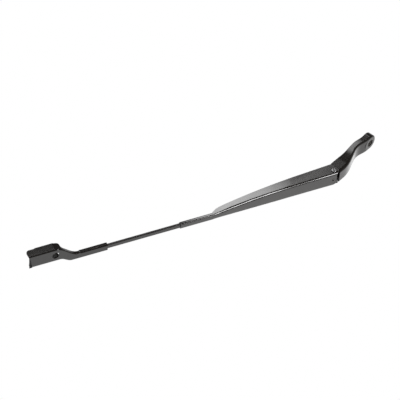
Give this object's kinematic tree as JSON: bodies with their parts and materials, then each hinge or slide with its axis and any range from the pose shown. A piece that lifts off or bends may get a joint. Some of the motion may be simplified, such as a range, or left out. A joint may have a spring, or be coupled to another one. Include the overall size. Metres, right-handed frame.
{
  "type": "wiper arm",
  "caption": "Front wiper arm: cast head with spindle bore, sprung hinge under a folded channel, flat rod and an offset channel bracket for the blade.",
  "frame": {"origin": "on the axis of the spindle bore, at the seat under the lug", "axes": "+Z along the spindle bore towards the nut's seat, +X from the bore towards the hinge and the blade, +Y away from the side the blade bracket is offset to"},
  "size_m": [0.5729, 0.0417, 0.2413],
  "materials": {
    "head_paint": "satin black paint over die-cast alloy",
    "bush": "plain bearing plastic",
    "pin_steel": "plain steel",
    "hook_steel": "zinc-plated strip steel",
    "spring_steel": "oiled spring steel",
    "arm_paint": "satin black paint over folded steel",
    "rivet_paint": "satin black paint over steel",
    "rod_paint": "satin black paint over flat bar",
    "bracket_paint": "satin black paint over folded steel"
  },
  "bodies": {
    "head": {"head": "head_paint", "hinge_bush_near": "bush", "hinge_bush_far": "bush", "cross_pin": "pin_steel"},
    "arm": {"retainer": "arm_paint", "hinge_rivet": "rivet_paint", "rod": "rod_paint", "blade_bracket": "bracket_paint"},
    "hook": {"spring_hook": "hook_steel"},
    "spring": {"spring": "spring_steel"}
  },
  "joints": [
    {"name": "arm_hinge", "type": "hinge", "parent": "head", "child": "arm", "pos_m": [0.092, 0, 0.0123], "axis": [0, -1, 0], "range_deg": [0, 90]},
    {"name": "hook_swing", "type": "hinge", "parent": "head", "child": "hook", "pos_m": [0.08855, 0, 0.00553], "axis": [0, -1, 0], "range_deg": [0, 87.66]},
    {"name": "spring_stretch", "type": "slide", "parent": "hook", "child": "spring", "axis": [0.9211, 0, -0.3892], "range_m": [0, 0.00723], "deforming": ["spring"]}
  ],
  "couplings": [
    {"joint": "hook_swing", "follows": "arm_hinge", "ratio": 0.97341},
    {"joint": "spring_stretch", "follows": "arm_hinge", "m_per_rad": 0.0045887}
  ]
}
